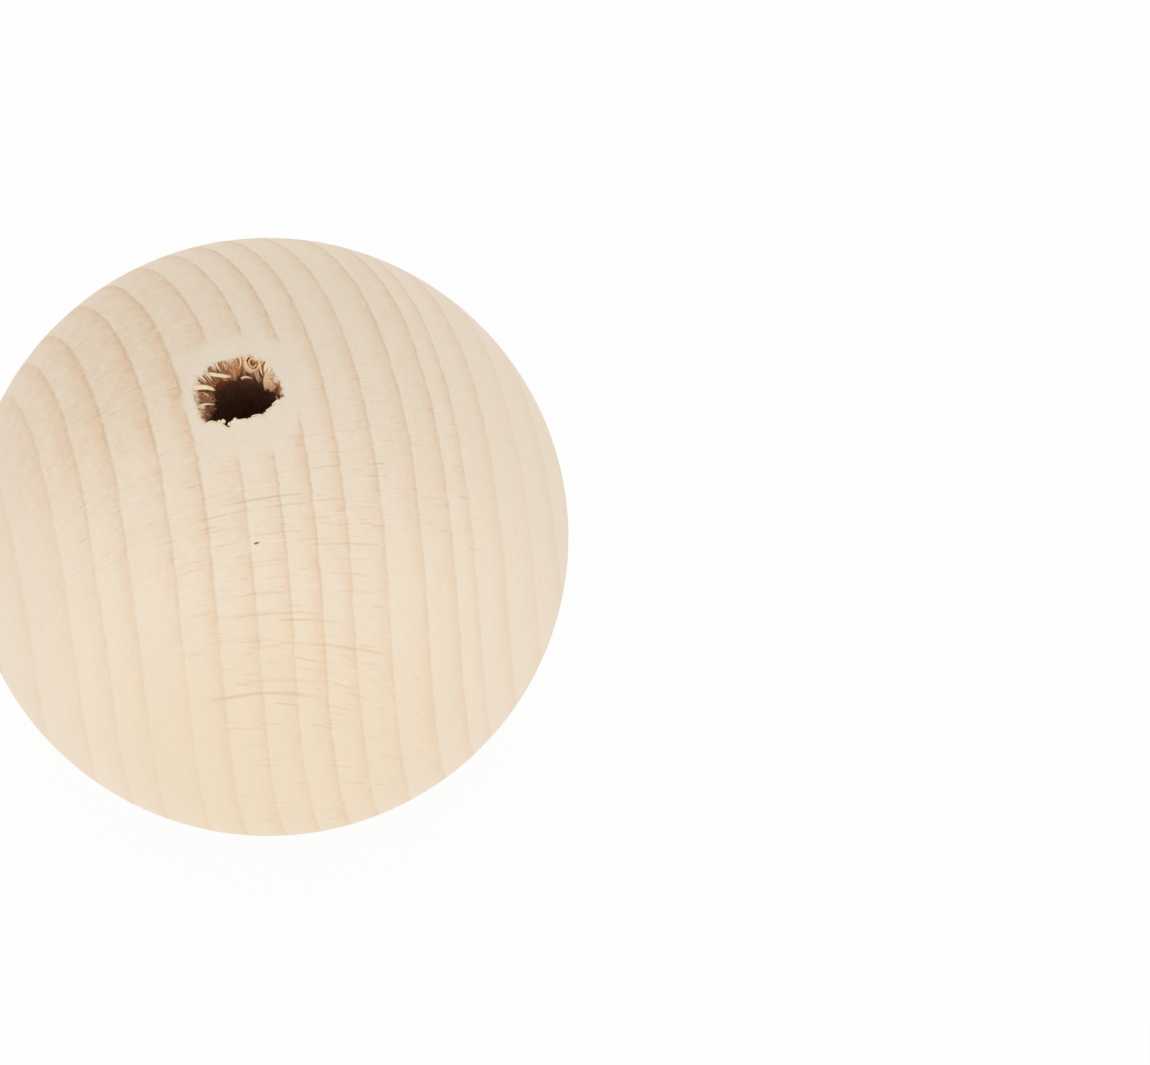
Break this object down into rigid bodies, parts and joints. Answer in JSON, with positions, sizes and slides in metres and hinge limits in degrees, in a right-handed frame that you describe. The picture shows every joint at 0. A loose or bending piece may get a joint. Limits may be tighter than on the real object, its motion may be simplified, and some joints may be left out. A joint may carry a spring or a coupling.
{
  "type": "wooden ball",
  "caption": "Solid turned beech ball with a blind round bore for a dowel; pale bare wood, the mouth of the bore left ragged with torn end grain.",
  "frame": {"origin": "centre of the ball", "axes": "+Z along the bore, out of its mouth; +X roughly across the growth rings, away from the heart of the tree"},
  "size_m": [0.06, 0.06, 0.0597],
  "materials": {
    "bare_beech": "fine sanded, unfinished"
  },
  "bodies": {
    "root": {"wooden_ball": "bare_beech"}
  },
  "joints": []
}
